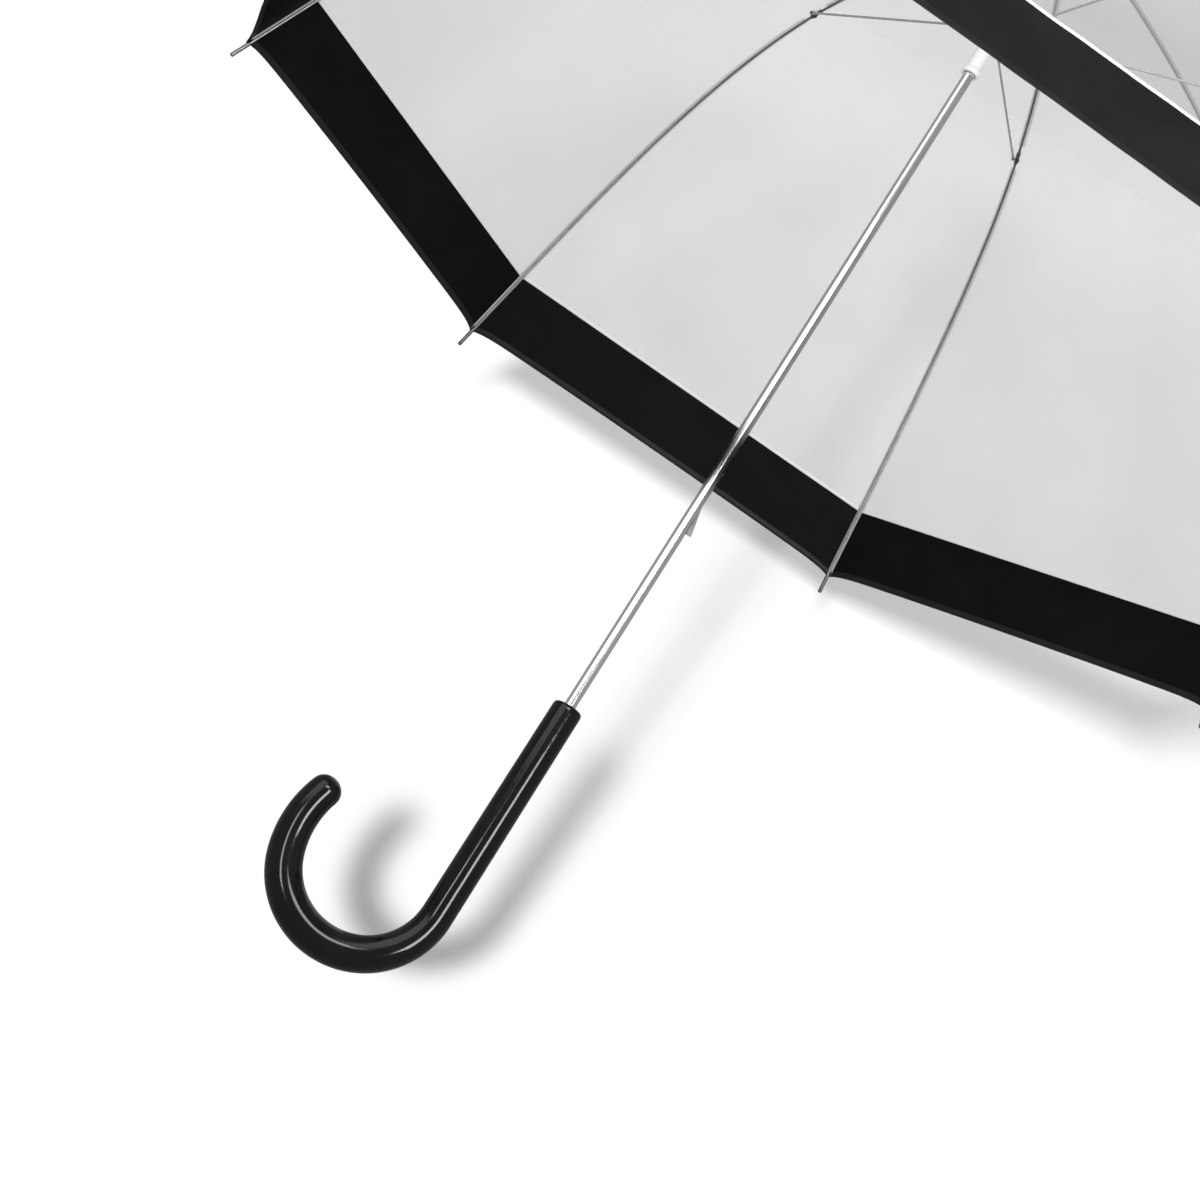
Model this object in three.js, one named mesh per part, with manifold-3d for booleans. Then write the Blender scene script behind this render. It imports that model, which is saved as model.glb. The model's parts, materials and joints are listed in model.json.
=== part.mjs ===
// Dome stick umbrella with a clear canopy and a dark border, drawn open.
// Millimetres, +Z up along the shaft, origin in the middle of the grip. The crook points to -X.
import * as THREE from 'three';
import { mergeVertices } from 'three/addons/utils/BufferGeometryUtils.js';
import Module from 'manifold-3d';

const wasm = await Module();
wasm.setup();

// Canopy and ribs
const RIB_COUNT = 8;
const RIB_TURN = 30;                      // azimuth of the first rib, degrees
const GORE_HALF = 180 / RIB_COUNT;        // half of a gore's angle, degrees
const HEM_RADIUS = 440;                   // rib line at the hem
const HEM_Z = 371.5;
const NOTCH_RADIUS = 9;                   // circle of the ribs' pivots
const NOTCH_Z = HEM_Z + 347;
const JOINT_RADIUS = 241.7;               // where a stretcher meets its rib
const JOINT_Z = HEM_Z + 292;
const BORDER_Z = HEM_Z + 52;              // top edge of the border
const RIB_WIRE = 1.1;                     // radius
const RIB_TIP = 14;                       // bare rib below the hem
const TIP_BALL = 1.6;                     // rounded cap on a rib's end, radius
const TIP_LENGTH = 3;
const STRETCHER_WIRE = 1;
const STRETCHER_SIDE = 2.8;               // a stretcher lies beside its rib, this far off its plane
const EYE_RADIUS = 2.1;
const EYE_WIDTH = 1.2;
const EYE_HOLE = 1.05;
const PIVOT_DISC = 1.7;
const STRETCHER_DISC = 1.2;
const LOWER_RIB_GAP = 1.84;               // lower rib starts this far out from the pivot it turns on
const FILM_OFFSET = 2.3;                  // film's inner face, out from the rib's centre line
const FILM_THICKNESS = 0.2;
const FILM_START = 14;                    // radius where the film begins, under the washer
const SEAM_SHARE = 0.001;                 // share of the rib's line left open beside each seam
const GAP = 0.3;                          // clearance between pieces that touch

// Shaft, notch and ferrule
const SHAFT_RADIUS = 3.75;
const SHAFT_BORE = 2.85;
const SHAFT_TOP = HEM_Z + 372;
const BORE_RADIUS = SHAFT_RADIUS + GAP;
const WIRE_RING = 0.5;
const WIRE_TUNNEL = 0.85;
const CROWN_RADIUS = 12;
const CROWN_HEIGHT = 8;
const HUB_RADIUS = 6.4;
const NOTCH_SLOT = 2.8;
const NOTCH_HUB_DROP = 12;                // hub below the notch's pivots
const WASHER_RADIUS = 19;
const WASHER_Z = HEM_Z + 352.2;
const FERRULE_Z = HEM_Z + 354.4;
const FERRULE_TOP = HEM_Z + 402;

// Runner and its two catches
const RUNNER_Z = HEM_Z + 247;             // pivots of the stretchers
const LIP_Z = HEM_Z + 207;
const LIP_RADIUS = 6.3;
const LIP_HEIGHT = 3;
const SLEEVE_RADIUS = 5.2;
const RUNNER_BORE = 4.15;
const RUNNER_SLOT = 2.6;
const WINDOW_RISE = 3.8;                  // solid ring below the runner's window
const WINDOW_HEIGHT = 25;
const CATCH_LENGTH = 50;
const CATCH_WIDTH = 1.6;
const CATCH_REACH = 7.2;                  // its nose, out from the shaft's axis
const BOTTOM_SHOULDER = HEM_Z - 163;
const TOP_SHOULDER = LIP_Z - 0.4;
const STOP_PIN = { radius: 0.8, half: 5.5, z: HEM_Z + 253.2 };
const NOTCH_PIN = { radius: 0.6, half: 6.1, z: HEM_Z + 339 };

// Handle
const HANDLE_TOP = HEM_Z - 296.5;
const HANDLE_STRAIGHT = 150;
const CROOK_RADIUS = 49.5;
const CROOK_ANGLE = 210;
const CROOK_OPENS_AT = 160;               // from this angle on the crook opens a little
const CROOK_OPENING = 0.1;                // its radius has grown by this share at the end
const HANDLE_THIN = 9.7;
const HANDLE_THICK = 11.7;
const SHAFT_IN_HANDLE = 65;

const WIRE_SIDES = 6;
const ROUND_SIDES = 24;

const rad = THREE.MathUtils.degToRad;

function material(color, roughness, metalness, opacity = 1) {
  return new THREE.MeshStandardMaterial({
    color,
    roughness,
    metalness,
    opacity,
    transparent: opacity < 1,
  });
}

const MATERIALS = {
  steel: material(0xb9bbbd, 0.3, 1),
  chrome: material(0xdadcde, 0.12, 1),
  white: material(0xeeefef, 0.45, 0),
  clear: material(0xe4e6e7, 0.2, 0, 0.35),
  border: material(0x171718, 0.4, 0),
  black: material(0x0b0b0c, 0.12, 0),
};

const umbrella = new THREE.Group();

function place(name, geometry, look, azimuth = 0) {
  const mesh = new THREE.Mesh(geometry, MATERIALS[look]);
  mesh.name = name;
  mesh.rotation.z = rad(azimuth);
  umbrella.add(mesh);
}

// Booleans

function solid(geometry) {
  const bare = geometry.clone();
  bare.deleteAttribute('normal');
  bare.deleteAttribute('uv');
  const merged = mergeVertices(bare, 1e-4);
  return new wasm.Manifold(new wasm.Mesh({
    numProp: 3,
    vertProperties: new Float32Array(merged.attributes.position.array),
    triVerts: new Uint32Array(merged.index.array),
  }));
}

function geometryOf(body) {
  const mesh = body.getMesh();
  const geometry = new THREE.BufferGeometry();
  geometry.setAttribute('position', new THREE.BufferAttribute(mesh.vertProperties, 3));
  geometry.setIndex(new THREE.BufferAttribute(mesh.triVerts, 1));
  geometry.computeVertexNormals();
  return geometry;
}

function join(...geometries) {
  const bodies = geometries.map(solid);
  return bodies.reduce((whole, next) => whole.add(next));
}

function cut(body, ...tools) {
  return tools.map(solid).reduce((left, tool) => left.subtract(tool), body);
}

// Simple shapes, all in a plane through the shaft where x is outward and z is up

function cylinder(radius, bottom, top, sides = ROUND_SIDES) {
  const geometry = new THREE.CylinderGeometry(radius, radius, top - bottom, sides);
  geometry.rotateX(Math.PI / 2);
  geometry.translate(0, 0, (top + bottom) / 2);
  return geometry;
}

function crossPin(radius, half, x, y, z, sides = 10) {
  return new THREE.CylinderGeometry(radius, radius, 2 * half, sides).translate(x, y, z);
}

function block(x0, x1, y0, y1, z0, z1) {
  const geometry = new THREE.BoxGeometry(x1 - x0, y1 - y0, z1 - z0);
  return geometry.translate((x0 + x1) / 2, (y0 + y1) / 2, (z0 + z1) / 2);
}

function ring(radius, wire, z) {
  return new THREE.TorusGeometry(radius, wire, 6, 32).translate(0, 0, z);
}

function turned(points) {
  const profile = points.map(([r, z]) => new THREE.Vector2(r, z));
  return new THREE.LatheGeometry(profile, ROUND_SIDES).rotateX(Math.PI / 2);
}

// A round bar along a flat path; stations are { x, z, radius } and the ends are closed flat.
function bar(stations, sides, y = 0) {
  const positions = [];
  const index = [];
  const last = stations.length - 1;
  stations.forEach((at, i) => {
    const before = stations[Math.max(i - 1, 0)];
    const after = stations[Math.min(i + 1, last)];
    const length = Math.hypot(after.x - before.x, after.z - before.z);
    const outX = (after.z - before.z) / length;
    const outZ = -(after.x - before.x) / length;
    for (let s = 0; s < sides; s++) {
      const turn = (2 * Math.PI * s) / sides;
      const out = at.radius * Math.cos(turn);
      positions.push(at.x + outX * out, y + at.radius * Math.sin(turn), at.z + outZ * out);
    }
  });
  for (let i = 0; i < last; i++) {
    for (let s = 0; s < sides; s++) {
      const a = i * sides + s;
      const b = i * sides + ((s + 1) % sides);
      index.push(a, b, a + sides, b, b + sides, a + sides);
    }
  }
  for (let s = 1; s < sides - 1; s++) {
    index.push(0, s + 1, s);
    index.push(last * sides, last * sides + s, last * sides + s + 1);
  }
  const geometry = new THREE.BufferGeometry();
  geometry.setAttribute('position', new THREE.Float32BufferAttribute(positions, 3));
  geometry.setIndex(index);
  geometry.computeVertexNormals();
  return geometry;
}

function stationsOn(curve, steps, radius) {
  return curve.getPoints(steps).map((p) => ({ x: p.x, z: p.y, radius }));
}

// The rib's line: x is the distance from the shaft's axis, y is the height

const ribTop = new THREE.QuadraticBezierCurve(
  new THREE.Vector2(NOTCH_RADIUS, NOTCH_Z),
  new THREE.Vector2(JOINT_RADIUS - 74.5, JOINT_Z + 41),
  new THREE.Vector2(JOINT_RADIUS, JOINT_Z),
);
const ribSide = new THREE.CubicBezierCurve(
  new THREE.Vector2(JOINT_RADIUS, JOINT_Z),
  new THREE.Vector2(JOINT_RADIUS + 98, JOINT_Z - 54),
  new THREE.Vector2(HEM_RADIUS - 49.2, HEM_Z + 109.2),
  new THREE.Vector2(HEM_RADIUS, HEM_Z),
);

function parameterAt(curve, measure, value) {
  let low = 0;
  let high = 1;
  const rising = measure(curve.getPoint(1)) > measure(curve.getPoint(0));
  for (let i = 0; i < 40; i++) {
    const middle = (low + high) / 2;
    const below = measure(curve.getPoint(middle)) < value;
    if (below === rising) low = middle;
    else high = middle;
  }
  return low;
}

function stretch(curve, from, to, steps) {
  return Array.from({ length: steps + 1 }, (_, i) => {
    const t = from + ((to - from) * i) / steps;
    const tangent = curve.getTangent(t);
    return { point: curve.getPoint(t), outX: -tangent.y, outZ: tangent.x };
  });
}

// Ribs: an upper and a lower length of one wire, which bends at the stretcher's joint

function upperRib() {
  const wire = stationsOn(ribTop, 8, RIB_WIRE);
  wire[0].x += EYE_HOLE + 0.4;
  const body = join(
    bar(wire, WIRE_SIDES),
    crossPin(EYE_RADIUS, EYE_WIDTH / 2, NOTCH_RADIUS, 0, NOTCH_Z),
    crossPin(PIVOT_DISC, RIB_WIRE, JOINT_RADIUS, 0, JOINT_Z),
  );
  return geometryOf(cut(body, crossPin(EYE_HOLE, EYE_WIDTH, NOTCH_RADIUS, 0, NOTCH_Z)));
}

function lowerRib() {
  const start = parameterAt(ribSide, (p) => p.x, JOINT_RADIUS + LOWER_RIB_GAP);
  const wire = stretch(ribSide, start, 1, 12).map(({ point }) => ({
    x: point.x,
    z: point.y,
    radius: RIB_WIRE,
  }));
  const end = wire.at(-1);
  const way = ribSide.getTangent(1);
  const along = (distance, radius) => ({
    x: end.x + way.x * distance,
    z: end.z + way.y * distance,
    radius,
  });
  wire.push(
    along(RIB_TIP - TIP_LENGTH, RIB_WIRE),
    along(RIB_TIP - 0.8 * TIP_LENGTH, TIP_BALL),
    along(RIB_TIP - 0.2 * TIP_LENGTH, TIP_BALL),
    along(RIB_TIP, TIP_BALL / 2),
  );
  return bar(wire, WIRE_SIDES);
}

function stretcher() {
  const reach = Math.hypot(JOINT_RADIUS - NOTCH_RADIUS, JOINT_Z - RUNNER_Z);
  const wayX = (JOINT_RADIUS - NOTCH_RADIUS) / reach;
  const wayZ = (JOINT_Z - RUNNER_Z) / reach;
  const at = (distance) => ({
    x: NOTCH_RADIUS + wayX * distance,
    z: RUNNER_Z + wayZ * distance,
    radius: STRETCHER_WIRE,
  });
  const body = join(
    bar([at(EYE_HOLE + 0.4), at(reach)], WIRE_SIDES, STRETCHER_SIDE),
    crossPin(EYE_RADIUS, EYE_WIDTH / 2, NOTCH_RADIUS, STRETCHER_SIDE, RUNNER_Z),
    crossPin(STRETCHER_DISC, 0.7, JOINT_RADIUS, STRETCHER_SIDE, JOINT_Z),
  );
  return geometryOf(
    cut(body, crossPin(EYE_HOLE, EYE_WIDTH, NOTCH_RADIUS, STRETCHER_SIDE, RUNNER_Z)),
  );
}

// A gore of the canopy is flat from rib to rib; x here is outward in the middle of the gore.
function gore(stations) {
  const positions = [];
  const index = [];
  const add = ({ point, outX, outZ }, offset, side) => {
    const r = point.x + outX * offset;
    const half = r * Math.sin(rad(GORE_HALF)) - GAP / 2;
    positions.push(r * Math.cos(rad(GORE_HALF)), side * half, point.y + outZ * offset);
  };
  stations.forEach((station) => {
    add(station, FILM_OFFSET, -1);
    add(station, FILM_OFFSET, 1);
    add(station, FILM_OFFSET + FILM_THICKNESS, 1);
    add(station, FILM_OFFSET + FILM_THICKNESS, -1);
  });
  const quad = (a, b, c, d) => index.push(a, b, c, a, c, d);
  for (let i = 0; i < stations.length - 1; i++) {
    for (let s = 0; s < 4; s++) {
      const a = 4 * i + s;
      const b = 4 * i + ((s + 1) % 4);
      quad(a, b, b + 4, a + 4);
    }
  }
  const end = 4 * (stations.length - 1);
  quad(3, 2, 1, 0);
  quad(end, end + 1, end + 2, end + 3);
  const geometry = new THREE.BufferGeometry();
  geometry.setAttribute('position', new THREE.Float32BufferAttribute(positions, 3));
  geometry.setIndex(index);
  geometry.computeVertexNormals();
  return geometry;
}

function canopy(azimuth, number) {
  const start = parameterAt(ribTop, (p) => p.x, FILM_START);
  const border = parameterAt(ribSide, (p) => -p.y, -BORDER_Z);
  const top = gore(stretch(ribTop, start, 1 - SEAM_SHARE, 8));
  const side = gore(stretch(ribSide, SEAM_SHARE, border - SEAM_SHARE, 8));
  const hem = gore(stretch(ribSide, border + SEAM_SHARE, 1, 3));
  place(`gore_top_${number}`, top, 'clear', azimuth);
  place(`gore_side_${number}`, side, 'clear', azimuth);
  place(`border_${number}`, hem, 'border', azimuth);
}

// Crowns: a hub with a slotted disc, and a wire ring through the slots

function slotted(body, pivotZ, ringRadius, slotWidth, side) {
  const slots = [];
  for (let k = 0; k < RIB_COUNT; k++) {
    const y0 = side - slotWidth / 2;
    const low = pivotZ - CROWN_HEIGHT;
    const slot = block(HUB_RADIUS + 0.5, 2 * CROWN_RADIUS, y0, y0 + slotWidth, low, pivotZ + CROWN_HEIGHT);
    slots.push(slot.rotateZ(rad(RIB_TURN + (k * 360) / RIB_COUNT)));
  }
  return cut(body, ...slots, ring(ringRadius, WIRE_TUNNEL, pivotZ));
}

function topNotch() {
  const top = NOTCH_Z + CROWN_HEIGHT / 2;
  const body = join(
    cylinder(CROWN_RADIUS, top - CROWN_HEIGHT, top),
    cylinder(HUB_RADIUS, NOTCH_Z - NOTCH_HUB_DROP, top - 1),
  );
  const crown = slotted(body, NOTCH_Z, NOTCH_RADIUS, NOTCH_SLOT, 0);
  const pinHole = crossPin(NOTCH_PIN.radius + GAP, 2 * HUB_RADIUS, 0, 0, NOTCH_PIN.z);
  const bore = cylinder(BORE_RADIUS, NOTCH_Z - 2 * NOTCH_HUB_DROP, NOTCH_Z + 2 * NOTCH_HUB_DROP);
  return geometryOf(cut(crown, bore, pinHole));
}

const RUNNER_RING = Math.hypot(NOTCH_RADIUS, STRETCHER_SIDE);

function runner() {
  const top = RUNNER_Z + CROWN_HEIGHT / 2;
  const body = join(
    cylinder(CROWN_RADIUS, top - CROWN_HEIGHT, top),
    cylinder(SLEEVE_RADIUS, LIP_Z + 1, top - 1),
    cylinder(LIP_RADIUS, LIP_Z, LIP_Z + LIP_HEIGHT),
  );
  const crown = slotted(body, RUNNER_Z, RUNNER_RING, RUNNER_SLOT, STRETCHER_SIDE);
  const windowLow = LIP_Z + WINDOW_RISE;
  const halfWidth = CATCH_WIDTH / 2 + 0.5;
  const window = block(2, 8, -halfWidth, halfWidth, windowLow, windowLow + WINDOW_HEIGHT);
  return geometryOf(cut(crown, cylinder(RUNNER_BORE, LIP_Z - 5, top + 5), window));
}

// Shaft: a tube with a slot for each catch and holes for the two cross pins

function shaft() {
  const bottom = HANDLE_TOP - SHAFT_IN_HANDLE;
  const halfWidth = CATCH_WIDTH / 2 + 0.4;
  const slot = (low, high) => block(0, 8, -halfWidth, halfWidth, low, high);
  return geometryOf(cut(
    solid(cylinder(SHAFT_RADIUS, bottom, SHAFT_TOP)),
    cylinder(SHAFT_BORE, bottom - 5, SHAFT_TOP + 5),
    slot(BOTTOM_SHOULDER - 2, BOTTOM_SHOULDER + CATCH_LENGTH - 5),
    slot(TOP_SHOULDER + 5 - CATCH_LENGTH, TOP_SHOULDER + 2).rotateZ(Math.PI / 2),
    crossPin(STOP_PIN.radius + GAP, 10, 0, 0, STOP_PIN.z),
    crossPin(NOTCH_PIN.radius + GAP, 10, 0, 0, NOTCH_PIN.z),
  ));
}

// A catch is a bent strip that is fixed inside the shaft at one end; its shoulder is at z = 0.
function catchSpring(shoulder, upward) {
  const outline = [
    [-2.2, CATCH_LENGTH],
    [-1.5, CATCH_LENGTH],
    [3.2, 0.42 * CATCH_LENGTH],
    [CATCH_REACH - 0.2, 2.4],
    [CATCH_REACH, 1],
    [CATCH_REACH - 0.5, 0],
    [2, 0],
    [2, 8],
    [-2.2, CATCH_LENGTH - 6],
  ];
  const shape = new THREE.Shape(outline.map(([x, z]) => new THREE.Vector2(x, z)));
  const geometry = new THREE.ExtrudeGeometry(shape, { depth: CATCH_WIDTH, bevelEnabled: false });
  geometry.translate(0, 0, -CATCH_WIDTH / 2);
  geometry.rotateX(upward ? -Math.PI / 2 : Math.PI / 2);
  return geometry.translate(0, 0, shoulder);
}

function washer() {
  return turned([
    [BORE_RADIUS, WASHER_Z],
    [13, WASHER_Z],
    [WASHER_RADIUS, WASHER_Z - 2],
    [WASHER_RADIUS + 0.6, WASHER_Z - 1.4],
    [13, WASHER_Z + 1.7],
    [BORE_RADIUS, WASHER_Z + 1.7],
    [BORE_RADIUS, WASHER_Z],
  ]);
}

function ferrule() {
  return turned([
    [0, SHAFT_TOP + GAP],
    [BORE_RADIUS, SHAFT_TOP + GAP],
    [BORE_RADIUS, FERRULE_Z],
    [8, FERRULE_Z],
    [8, FERRULE_Z + 2],
    [6, FERRULE_Z + 5],
    [5.6, FERRULE_Z + 20],
    [4.2, FERRULE_TOP - 1],
    [3.4, FERRULE_TOP],
    [0, FERRULE_TOP],
  ]);
}

// Handle: a straight grip and a crook, thickest in the bend, with a rounded end
function handle() {
  const stations = [
    { x: 0, z: HANDLE_TOP, radius: HANDLE_THIN - 1.2 },
    { x: 0, z: HANDLE_TOP - 1.2, radius: HANDLE_THIN },
    { x: 0, z: HANDLE_TOP - HANDLE_STRAIGHT / 2, radius: HANDLE_THIN + 0.3 },
  ];
  const crookZ = HANDLE_TOP - HANDLE_STRAIGHT;
  const steps = 18;
  for (let i = 0; i <= steps; i++) {
    const degrees = (CROOK_ANGLE * i) / steps;
    const opened = Math.max(0, degrees - CROOK_OPENS_AT) / (CROOK_ANGLE - CROOK_OPENS_AT);
    const radius = CROOK_RADIUS * (1 + CROOK_OPENING * opened ** 2);
    const swell = Math.sin((Math.PI * i) / steps);
    stations.push({
      x: radius * Math.cos(rad(degrees)) - CROOK_RADIUS,
      z: crookZ - radius * Math.sin(rad(degrees)),
      radius: THREE.MathUtils.lerp(HANDLE_THIN + 0.5, HANDLE_THICK, swell),
    });
  }
  const [before, end] = stations.slice(-2);
  const step = Math.hypot(end.x - before.x, end.z - before.z);
  for (const turn of [25, 50, 75]) {
    const ahead = (end.radius * Math.sin(rad(turn))) / step;
    stations.push({
      x: end.x + ahead * (end.x - before.x),
      z: end.z + ahead * (end.z - before.z),
      radius: end.radius * Math.cos(rad(turn)),
    });
  }
  const bore = cylinder(BORE_RADIUS, HANDLE_TOP - SHAFT_IN_HANDLE - GAP, HANDLE_TOP + 5);
  return geometryOf(cut(join(bar(stations, 20)), bore));
}

place('crook_handle', handle(), 'black');
place('shaft_tube', shaft(), 'chrome');
place('ferrule', ferrule(), 'black');
place('canopy_washer', washer(), 'black');
place('top_notch', topNotch(), 'white');
place('notch_wire', ring(NOTCH_RADIUS, WIRE_RING, NOTCH_Z), 'steel');
place('notch_pin', crossPin(NOTCH_PIN.radius, NOTCH_PIN.half, 0, 0, NOTCH_PIN.z), 'steel');
place('runner', runner(), 'white');
place('runner_wire', ring(RUNNER_RING, WIRE_RING, RUNNER_Z), 'steel');
place('runner_stop_pin', crossPin(STOP_PIN.radius, STOP_PIN.half, 0, 0, STOP_PIN.z), 'steel');
place('bottom_catch', catchSpring(BOTTOM_SHOULDER, false), 'steel');
place('top_catch', catchSpring(TOP_SHOULDER, true), 'steel', 90);

for (let k = 0; k < RIB_COUNT; k++) {
  const azimuth = RIB_TURN + (k * 360) / RIB_COUNT;
  const number = k + 1;
  place(`rib_upper_${number}`, upperRib(), 'steel', azimuth);
  place(`rib_lower_${number}`, lowerRib(), 'steel', azimuth);
  place(`stretcher_${number}`, stretcher(), 'steel', azimuth);
  canopy(azimuth + GORE_HALF, number);
}

export default umbrella;
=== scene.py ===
"""Looks of a clear dome umbrella with a dark border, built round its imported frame.

Metres, +Z up the shaft, -X the way the crook points. Shapes that repeat round the shaft are drawn once
in a plane through it, where x is outward, y is sideways and z is up, and are then turned into place.
"""
import json
import math

import bmesh
import bpy
from mathutils import Matrix, Vector, noise

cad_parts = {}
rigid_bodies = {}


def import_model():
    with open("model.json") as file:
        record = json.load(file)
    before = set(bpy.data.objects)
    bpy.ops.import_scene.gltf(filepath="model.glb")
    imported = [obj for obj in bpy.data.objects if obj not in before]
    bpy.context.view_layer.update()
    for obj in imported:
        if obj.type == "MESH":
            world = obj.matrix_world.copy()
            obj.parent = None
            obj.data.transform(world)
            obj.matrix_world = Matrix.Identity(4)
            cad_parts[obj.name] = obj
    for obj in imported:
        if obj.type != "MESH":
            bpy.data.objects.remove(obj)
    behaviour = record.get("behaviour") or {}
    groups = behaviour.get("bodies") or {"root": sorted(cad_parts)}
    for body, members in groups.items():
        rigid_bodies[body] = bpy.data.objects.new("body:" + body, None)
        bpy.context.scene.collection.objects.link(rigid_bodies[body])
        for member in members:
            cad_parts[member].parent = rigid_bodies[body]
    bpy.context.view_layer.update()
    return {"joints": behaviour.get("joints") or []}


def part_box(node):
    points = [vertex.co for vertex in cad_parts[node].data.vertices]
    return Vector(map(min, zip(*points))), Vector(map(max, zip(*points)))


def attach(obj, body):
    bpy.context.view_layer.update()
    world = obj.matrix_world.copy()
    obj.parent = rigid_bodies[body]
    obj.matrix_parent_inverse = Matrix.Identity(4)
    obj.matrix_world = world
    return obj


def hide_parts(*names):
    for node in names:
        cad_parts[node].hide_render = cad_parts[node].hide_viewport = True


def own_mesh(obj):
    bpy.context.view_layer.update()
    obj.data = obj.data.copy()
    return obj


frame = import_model()

MM = 0.001
JOINTS = {j["name"]: j for j in frame["joints"]}


def pivot(joint):
    """(distance from the shaft's axis, height, azimuth) of a hinge's pivot."""
    x, y, z = JOINTS[joint]["pos_m"]
    return math.hypot(x, y), z, math.atan2(y, x)


# Driving dimensions: the pivots come from the frame, the rest follow from them.
RIB_COUNT = 8
GORE_HALF = math.pi / RIB_COUNT
NOTCH_R, NOTCH_Z, FIRST_RIB = pivot("rib_upper_1_fold")
JOINT_R, JOINT_Z, _ = pivot("rib_lower_1_fold")
_, RUNNER_Z, _ = pivot("stretcher_1_fold")
HEM_R = 440 * MM
HEM_Z = NOTCH_Z - 347 * MM
BORDER_Z = HEM_Z + 52 * MM
FILM_OFFSET = 2.3 * MM                  # film's inner face, out from the rib's centre line
FILM_THICKNESS = 0.2 * MM
FILM_START = 14 * MM                    # radius where the film begins, under the washer
RIB_WIRE = 0.9 * MM
RIB_TIP = 14 * MM                       # bare rib below the hem
STRETCHER_WIRE = 0.82 * MM
STRETCHER_SIDE = 2.8 * MM               # a stretcher lies beside its rib
SHAFT_R = 3.75 * MM
SHAFT_BORE = 2.85 * MM
BORE_R = 4.05 * MM                      # what slides or sits on the shaft
CROWN_R = 12 * MM
CROWN_HEIGHT = 8 * MM
RUNNER_LIP_Z = HEM_Z + 207 * MM
HANDLE_TOP = HEM_Z - 296.5 * MM
HANDLE_STRAIGHT = 150 * MM
CROOK_R = 49.5 * MM
CROOK_ANGLE = 210
CROOK_OPENS_AT = 160
CROOK_OPENING = 0.1
CATCH_LENGTH = 50 * MM
CATCH_WIDTH = 1.6 * MM
RING_WIRE = 0.5 * MM
EYE_R, EYE_HOLE, EYE_HALF = 2.1 * MM, 1.0 * MM, 0.6 * MM
SLEEVE_HALF = 2.3 * MM                  # half width of a strip over the film
BORDER_SLEEVE_HALF = 1.75 * MM          # and over the border

CAMERA_PLACE = (0.0078, -1.6647, -0.3040)
CAMERA_ELEVATION = 15.03
CAMERA_HEADING = 0.93                   # towards -X from +Y, degrees
CAMERA_ROLL = 32.51
CAMERA_LENS = 84.0


# Camera

def make_camera():
    data = bpy.data.cameras.new("camera")
    data.lens = CAMERA_LENS
    data.clip_start = 0.05
    camera = bpy.data.objects.new("camera", data)
    bpy.context.scene.collection.objects.link(camera)
    heading = math.radians(CAMERA_HEADING)
    elevation = math.radians(CAMERA_ELEVATION)
    ahead = Vector((
        -math.sin(heading) * math.cos(elevation),
        math.cos(heading) * math.cos(elevation),
        math.sin(elevation),
    ))
    level = ahead.cross(Vector((0, 0, 1))).normalized()
    above = level.cross(ahead)
    roll = math.radians(CAMERA_ROLL)
    right = level * math.cos(roll) + above * math.sin(roll)
    up = above * math.cos(roll) - level * math.sin(roll)
    turned = Matrix((right, up, -ahead)).transposed().to_4x4()
    camera.matrix_world = Matrix.Translation(CAMERA_PLACE) @ turned
    bpy.context.scene.camera = camera


make_camera()


# Materials

class Shader:
    """A node material round one Principled shader, with short ways to add texture nodes."""

    def __init__(self, name, **sockets):
        self.material = bpy.data.materials.new(name)
        self.material.use_nodes = True
        self.nodes = self.material.node_tree.nodes
        self.links = self.material.node_tree.links
        self.surface = self.nodes["Principled BSDF"]
        for socket, value in sockets.items():
            self.surface.inputs[socket.replace("_", " ")].default_value = value
        self.place = self.nodes.new("ShaderNodeTexCoord").outputs["Object"]

    def add(self, kind, **values):
        node = self.nodes.new(kind)
        for key, value in values.items():
            if key in node.inputs:
                node.inputs[key].default_value = value
            else:
                setattr(node, key, value)
        return node

    def stretched(self, scale, source=None):
        node = self.add("ShaderNodeMapping")
        node.inputs["Scale"].default_value = scale
        self.links.new(source or self.place, node.inputs["Vector"])
        return node.outputs["Vector"]

    def noise(self, scale, detail=3.0, roughness=0.5, source=None):
        node = self.add("ShaderNodeTexNoise", Scale=scale, Detail=detail, Roughness=roughness)
        self.links.new(source or self.place, node.inputs["Vector"])
        return node.outputs["Fac"]

    def ranged(self, source, low, high, start=0.3, end=0.7):
        node = self.add("ShaderNodeMapRange")
        for socket, value in zip(("From Min", "From Max", "To Min", "To Max"), (start, end, low, high)):
            node.inputs[socket].default_value = value
        self.links.new(source, node.inputs["Value"])
        return node.outputs["Result"]

    def colours(self, source, *stops):
        node = self.add("ShaderNodeValToRGB")
        ramp = node.color_ramp.elements
        while len(ramp) < len(stops):
            ramp.new(0.5)
        for element, (place, colour) in zip(ramp, stops):
            element.position = place
            element.color = (*colour, 1)
        self.links.new(source, node.inputs["Fac"])
        return node.outputs["Color"]

    def into(self, socket, source):
        self.links.new(source, self.surface.inputs[socket])

    def bump(self, *layers):
        """Each layer is (height, depth in metres)."""
        normal = None
        for height, depth in layers:
            node = self.add("ShaderNodeBump", Distance=depth)
            node.inputs["Strength"].default_value = 1.0
            self.links.new(height, node.inputs["Height"])
            if normal:
                self.links.new(normal, node.inputs["Normal"])
            normal = node.outputs["Normal"]
        self.links.new(normal, self.surface.inputs["Normal"])

    def uv(self):
        return self.add("ShaderNodeUVMap", uv_map="along").outputs["UV"]


def grey(value, tint=0.0):
    """A neutral colour; a positive tint is a little blue."""
    return (value * (1 - tint), value, value * (1 + tint))


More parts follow.
